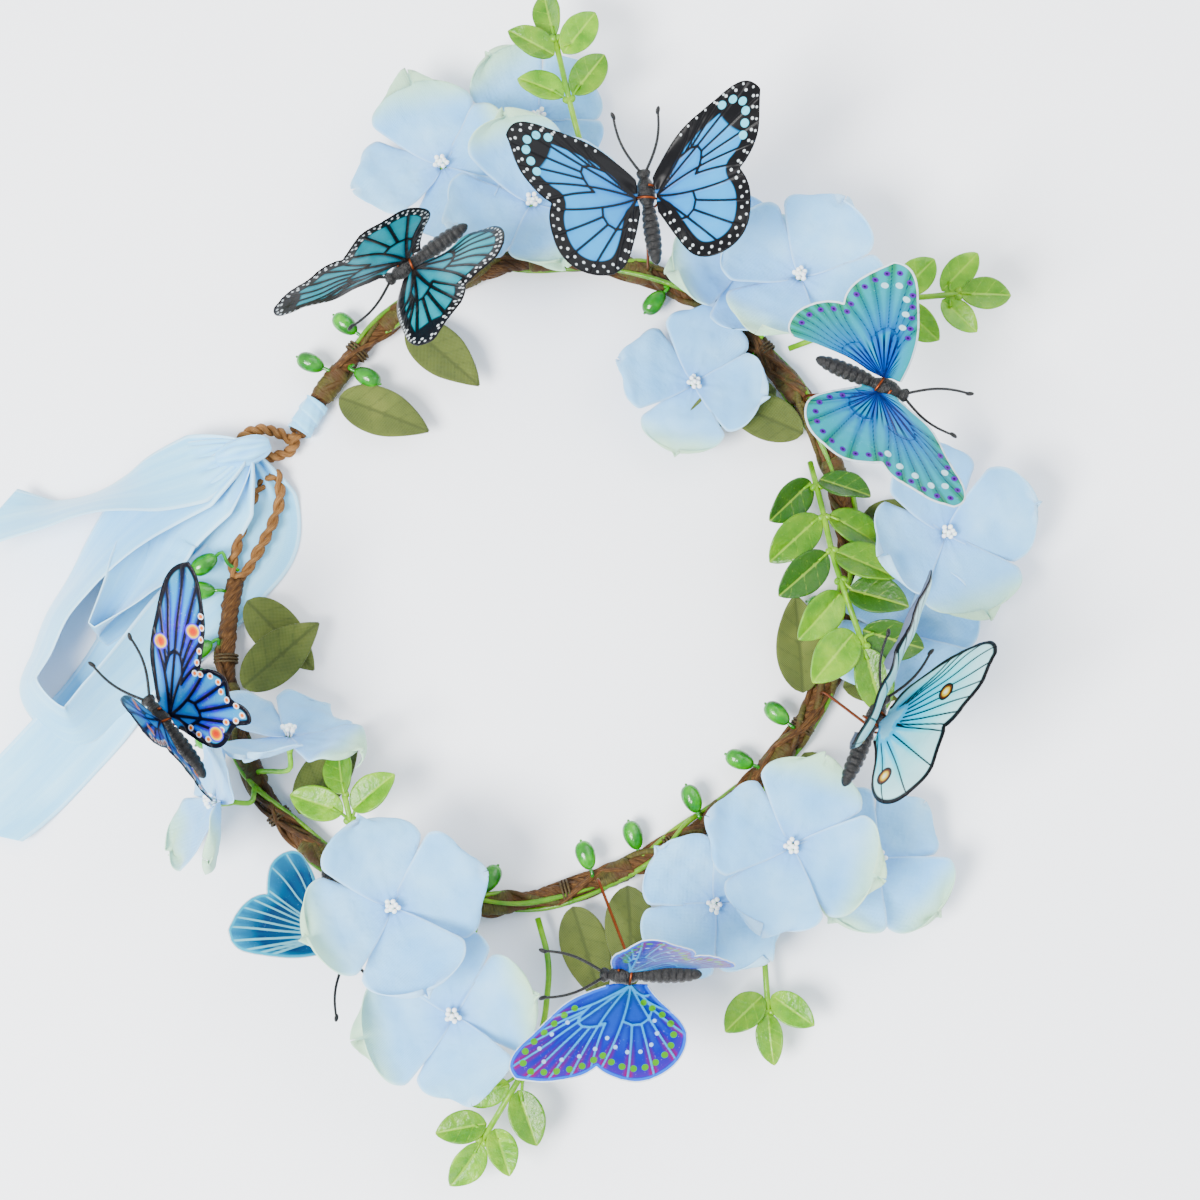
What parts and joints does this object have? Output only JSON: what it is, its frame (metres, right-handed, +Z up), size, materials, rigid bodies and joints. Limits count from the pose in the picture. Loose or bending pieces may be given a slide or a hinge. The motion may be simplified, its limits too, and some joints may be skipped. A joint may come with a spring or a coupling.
{
  "type": "flower crown",
  "caption": "Oval hair wreath of paper-wrapped wire with pale blue fabric florets, green sprigs, berry pips, butterflies on soft wires and a satin tie ribbon at an open back.",
  "frame": {"origin": "middle of the head opening, on the surface that the crown rests on", "axes": "+Z up out of the hoop's plane, +Y to the open back where the ribbon ties, -Y to the front"},
  "size_m": [0.3404, 0.323, 0.0933],
  "materials": {
    "steel_core": "bare wire, hidden in the paper",
    "paper_rope": "twisted brown paper strands",
    "floral_tape": "olive crepe floral tape, slightly waxy",
    "binding_wire": "dark brown enamelled wire",
    "satin_ribbon": "light blue satin",
    "petal_fabric": "pale blue woven fabric, sealed edges",
    "stamen_tuft": "small white plastic beads",
    "calyx_plastic": "soft green plastic, slightly translucent",
    "sprig_plastic": "yellow-green moulded plastic, glossy",
    "leaf_fabric": "olive woven leaf cloth with pressed veins",
    "berry_plastic": "bright green glossy plastic",
    "butterfly_body": "black moulded plastic",
    "wing_film": "printed clear film, glossy",
    "copper_wire": "brown enamelled copper wire"
  },
  "bodies": {
    "crown": {"hoop_core_wire": "steel_core", "hoop_paper_rope": "paper_rope", "ribbon_eyes": "paper_rope", "floral_tape_wraps": "floral_tape", "binding_wires": "binding_wire", "floret_top_front": "petal_fabric", "floret_top_back": "petal_fabric", "floret_top_outer": "petal_fabric", "floret_upper_right_front": "petal_fabric", "floret_upper_right_back": "petal_fabric", "floret_upper_right_inner": "petal_fabric", "floret_right_outer": "petal_fabric", "floret_right_inner": "petal_fabric", "floret_lower_right_front": "petal_fabric", "floret_lower_right_outer": "petal_fabric", "floret_lower_right_side": "petal_fabric", "floret_bottom_front": "petal_fabric", "floret_bottom_back": "petal_fabric", "floret_left_outer": "petal_fabric", "floret_left_inner": "petal_fabric", "floret_stamens": "stamen_tuft", "floret_calyces": "calyx_plastic", "sprig_top": "sprig_plastic", "sprig_upper_right": "sprig_plastic", "sprig_right": "sprig_plastic", "sprig_lower_right": "sprig_plastic", "sprig_bottom": "sprig_plastic", "sprig_left": "sprig_plastic", "fabric_leaves": "leaf_fabric", "berry_pips": "berry_plastic", "ribbon_knot": "satin_ribbon", "ribbon_bow": "satin_ribbon"},
    "butterfly_top": {"butterfly_top_body": "butterfly_body", "butterfly_top_wire": "copper_wire"},
    "butterfly_top_wing_right": {"butterfly_top_wing_right": "wing_film"},
    "butterfly_top_wing_left": {"butterfly_top_wing_left": "wing_film"},
    "butterfly_upper_left": {"butterfly_upper_left_body": "butterfly_body", "butterfly_upper_left_wire": "copper_wire"},
    "butterfly_upper_left_wing_right": {"butterfly_upper_left_wing_right": "wing_film"},
    "butterfly_upper_left_wing_left": {"butterfly_upper_left_wing_left": "wing_film"},
    "butterfly_upper_right": {"butterfly_upper_right_body": "butterfly_body", "butterfly_upper_right_wire": "copper_wire"},
    "butterfly_upper_right_wing_right": {"butterfly_upper_right_wing_right": "wing_film"},
    "butterfly_upper_right_wing_left": {"butterfly_upper_right_wing_left": "wing_film"},
    "butterfly_right": {"butterfly_right_body": "butterfly_body", "butterfly_right_wire": "copper_wire"},
    "butterfly_right_wing_right": {"butterfly_right_wing_right": "wing_film"},
    "butterfly_right_wing_left": {"butterfly_right_wing_left": "wing_film"},
    "butterfly_bottom": {"butterfly_bottom_body": "butterfly_body", "butterfly_bottom_wire": "copper_wire"},
    "butterfly_bottom_wing_right": {"butterfly_bottom_wing_right": "wing_film"},
    "butterfly_bottom_wing_left": {"butterfly_bottom_wing_left": "wing_film"},
    "butterfly_lower_left": {"butterfly_lower_left_body": "butterfly_body", "butterfly_lower_left_wire": "copper_wire"},
    "butterfly_lower_left_wing_right": {"butterfly_lower_left_wing_right": "wing_film"},
    "butterfly_lower_left_wing_left": {"butterfly_lower_left_wing_left": "wing_film"},
    "butterfly_left": {"butterfly_left_body": "butterfly_body", "butterfly_left_wire": "copper_wire"},
    "butterfly_left_wing_right": {"butterfly_left_wing_right": "wing_film"},
    "butterfly_left_wing_left": {"butterfly_left_wing_left": "wing_film"}
  },
  "joints": [
    {"name": "butterfly_top_sway", "type": "hinge", "parent": "crown", "child": "butterfly_top", "pos_m": [0.10115, 0.00707, 0.0092], "axis": [-0.0282, 0.9996, 0], "range_deg": [-8, 8]},
    {"name": "butterfly_top_flap_right", "type": "hinge", "parent": "butterfly_top", "child": "butterfly_top_wing_right", "pos_m": [0.10992, 0.01155, 0.05], "axis": [-0.866, -0.5, 0], "range_deg": [-8, 16], "stiffness_Nm_per_rad": 0.004},
    {"name": "butterfly_top_flap_left", "type": "hinge", "parent": "butterfly_top", "child": "butterfly_top_wing_left", "pos_m": [0.10992, 0.01155, 0.05], "axis": [0.866, 0.5, 0], "range_deg": [-8, 16], "stiffness_Nm_per_rad": 0.004},
    {"name": "butterfly_upper_left_sway", "type": "hinge", "parent": "crown", "child": "butterfly_upper_left", "pos_m": [0.0685, 0.0685, 0.0092], "axis": [-0.8113, 0.5846, 0], "range_deg": [-8, 8]},
    {"name": "butterfly_upper_left_flap_right", "type": "hinge", "parent": "butterfly_upper_left", "child": "butterfly_upper_left_wing_right", "pos_m": [0.06711, 0.06949, 0.043], "axis": [0.8013, -0.561, 0.2079], "range_deg": [-8, 16], "stiffness_Nm_per_rad": 0.004},
    {"name": "butterfly_upper_left_flap_left", "type": "hinge", "parent": "butterfly_upper_left", "child": "butterfly_upper_left_wing_left", "pos_m": [0.06711, 0.06949, 0.043], "axis": [-0.8013, 0.561, -0.2079], "range_deg": [-8, 16], "stiffness_Nm_per_rad": 0.004},
    {"name": "butterfly_upper_right_sway", "type": "hinge", "parent": "crown", "child": "butterfly_upper_right", "pos_m": [0.08091, -0.05254, 0.0092], "axis": [0.6086, 0.7935, 0], "range_deg": [-8, 8]},
    {"name": "butterfly_upper_right_flap_right", "type": "hinge", "parent": "butterfly_upper_right", "child": "butterfly_upper_right_wing_right", "pos_m": [0.08338, -0.07248, 0.048], "axis": [0, 0.9945, 0.1045], "range_deg": [-8, 16], "stiffness_Nm_per_rad": 0.004},
    {"name": "butterfly_upper_right_flap_left", "type": "hinge", "parent": "butterfly_upper_right", "child": "butterfly_upper_right_wing_left", "pos_m": [0.08338, -0.07248, 0.048], "axis": [0, -0.9945, -0.1045], "range_deg": [-8, 16], "stiffness_Nm_per_rad": 0.004},
    {"name": "butterfly_right_sway", "type": "hinge", "parent": "crown", "child": "butterfly_right", "pos_m": [-0.00158, -0.09021, 0.0092], "axis": [0.9956, -0.0937, 0], "range_deg": [-8, 8]},
    {"name": "butterfly_right_flap_right", "type": "hinge", "parent": "butterfly_right", "child": "butterfly_right_wing_right", "pos_m": [-0.0093, -0.10634, 0.044], "axis": [-0.9986, 0.0523, 0], "range_deg": [-8, 16], "stiffness_Nm_per_rad": 0.004},
    {"name": "butterfly_right_flap_left", "type": "hinge", "parent": "butterfly_right", "child": "butterfly_right_wing_left", "pos_m": [-0.0093, -0.10634, 0.044], "axis": [0.9986, -0.0523, 0], "range_deg": [-8, 6], "stiffness_Nm_per_rad": 0.004},
    {"name": "butterfly_bottom_sway", "type": "hinge", "parent": "crown", "child": "butterfly_bottom", "pos_m": [-0.07848, -0.04904, 0.0092], "axis": [0.6765, -0.7364, 0], "range_deg": [-8, 3]},
    {"name": "butterfly_bottom_flap_right", "type": "hinge", "parent": "butterfly_bottom", "child": "butterfly_bottom_wing_right", "pos_m": [-0.10193, -0.06875, 0.037], "axis": [0.371, -0.9182, 0.1392], "range_deg": [-8, 16], "stiffness_Nm_per_rad": 0.004},
    {"name": "butterfly_bottom_flap_left", "type": "hinge", "parent": "butterfly_bottom", "child": "butterfly_bottom_wing_left", "pos_m": [-0.10193, -0.06875, 0.037], "axis": [-0.371, 0.9182, -0.1392], "range_deg": [-8, 16], "stiffness_Nm_per_rad": 0.004},
    {"name": "butterfly_lower_left_sway", "type": "hinge", "parent": "crown", "child": "butterfly_lower_left", "pos_m": [-0.10436, 0.02029, 0.0092], "axis": [-0.1057, -0.9944, 0], "range_deg": [-8, 8]},
    {"name": "butterfly_lower_left_flap_right", "type": "hinge", "parent": "butterfly_lower_left", "child": "butterfly_lower_left_wing_right", "pos_m": [-0.12165, 0.01494, 0.015], "axis": [0.7943, 0.5985, -0.1045], "range_deg": [-8, 16], "stiffness_Nm_per_rad": 0.004},
    {"name": "butterfly_lower_left_flap_left", "type": "hinge", "parent": "butterfly_lower_left", "child": "butterfly_lower_left_wing_left", "pos_m": [-0.12165, 0.01494, 0.015], "axis": [-0.7943, -0.5985, 0.1045], "range_deg": [-6, 5], "stiffness_Nm_per_rad": 0.004},
    {"name": "butterfly_left_sway", "type": "hinge", "parent": "crown", "child": "butterfly_left", "pos_m": [-0.07259, 0.07259, 0.0092], "axis": [-0.8264, -0.5631, 0], "range_deg": [-5, 8]},
    {"name": "butterfly_left_flap_right", "type": "hinge", "parent": "butterfly_left", "child": "butterfly_left_wing_right", "pos_m": [-0.08559, 0.08266, 0.045], "axis": [-0.515, -0.8572, 0], "range_deg": [-8, 16], "stiffness_Nm_per_rad": 0.004},
    {"name": "butterfly_left_flap_left", "type": "hinge", "parent": "butterfly_left", "child": "butterfly_left_wing_left", "pos_m": [-0.08559, 0.08266, 0.045], "axis": [0.515, 0.8572, 0], "range_deg": [-8, 16], "stiffness_Nm_per_rad": 0.004}
  ]
}
